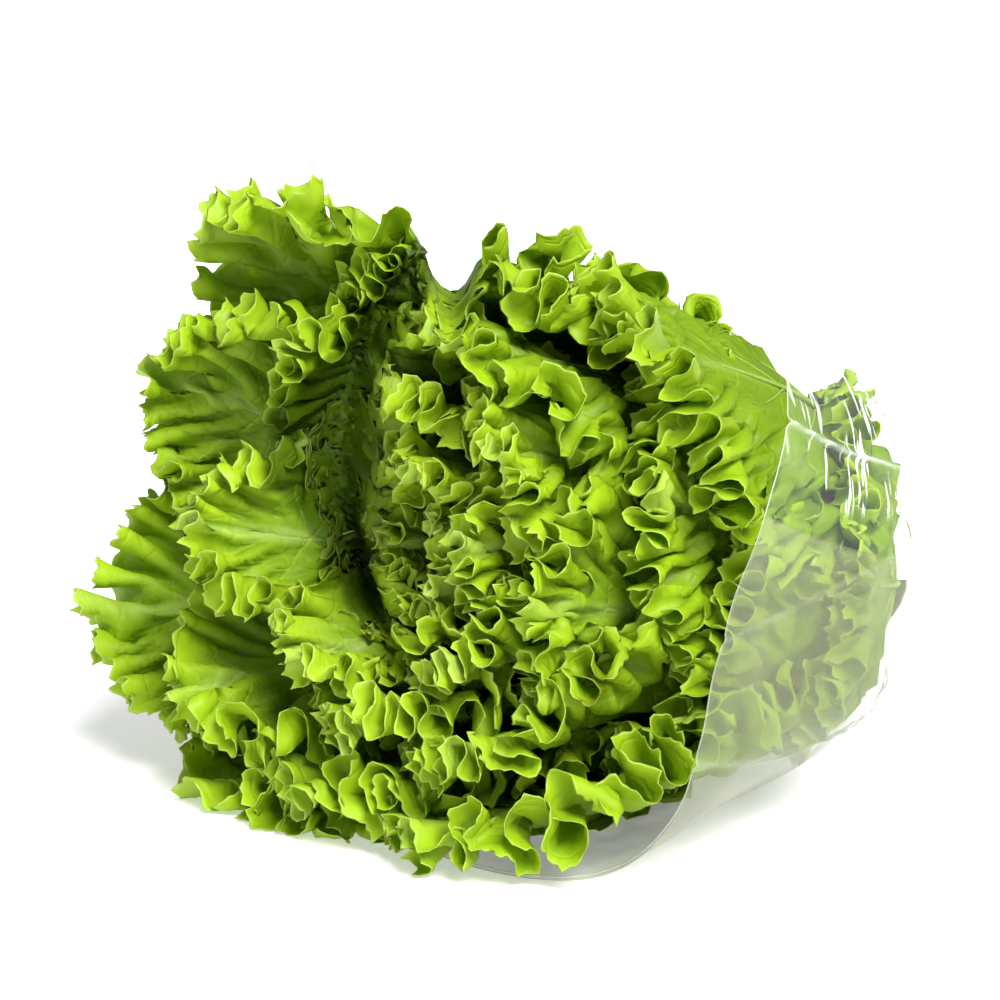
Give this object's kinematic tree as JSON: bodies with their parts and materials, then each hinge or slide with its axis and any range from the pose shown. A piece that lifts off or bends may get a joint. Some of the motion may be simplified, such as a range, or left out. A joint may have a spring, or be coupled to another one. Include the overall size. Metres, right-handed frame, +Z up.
{
  "type": "curly leaf lettuce",
  "caption": "Head of curly leaf lettuce with frilled overlapping leaves on a short cut stem, lying on its side in a clear conical sleeve.",
  "frame": {"origin": "on the surface that the head lies on, under the middle of the object's box", "axes": "+Z up; +X to the viewer's right, along the object's longest side, with the cut stem towards +X and the frilled crown towards -X and -Y"},
  "size_m": [0.2677, 0.1977, 0.1916],
  "materials": {
    "outer_leaf": "soft satin leaf, mid green with yellow-green frilled margins",
    "heart_leaf": "soft satin leaf, pale yellow-green",
    "stem": "moist pale cut stem",
    "film": "clear glossy packing film, wrinkled"
  },
  "bodies": {
    "root": {"stem": "stem", "leaf_01": "outer_leaf", "leaf_02": "outer_leaf", "leaf_03": "outer_leaf", "leaf_04": "outer_leaf", "leaf_05": "outer_leaf", "leaf_06": "outer_leaf", "leaf_07": "outer_leaf", "leaf_08": "outer_leaf", "leaf_09": "outer_leaf", "leaf_10": "outer_leaf", "leaf_11": "outer_leaf", "leaf_12": "outer_leaf", "leaf_13": "outer_leaf", "leaf_14": "outer_leaf", "leaf_15": "outer_leaf", "leaf_16": "outer_leaf", "leaf_17": "heart_leaf", "leaf_18": "heart_leaf", "leaf_19": "heart_leaf", "leaf_20": "heart_leaf", "leaf_21": "heart_leaf", "leaf_22": "heart_leaf", "leaf_23": "heart_leaf", "leaf_24": "heart_leaf", "leaf_25": "heart_leaf", "leaf_26": "heart_leaf", "leaf_27": "heart_leaf", "leaf_28": "heart_leaf", "leaf_29": "heart_leaf", "leaf_30": "heart_leaf", "leaf_31": "heart_leaf", "leaf_32": "heart_leaf", "leaf_33": "heart_leaf", "leaf_34": "heart_leaf", "clear_sleeve": "film"}
  },
  "joints": []
}
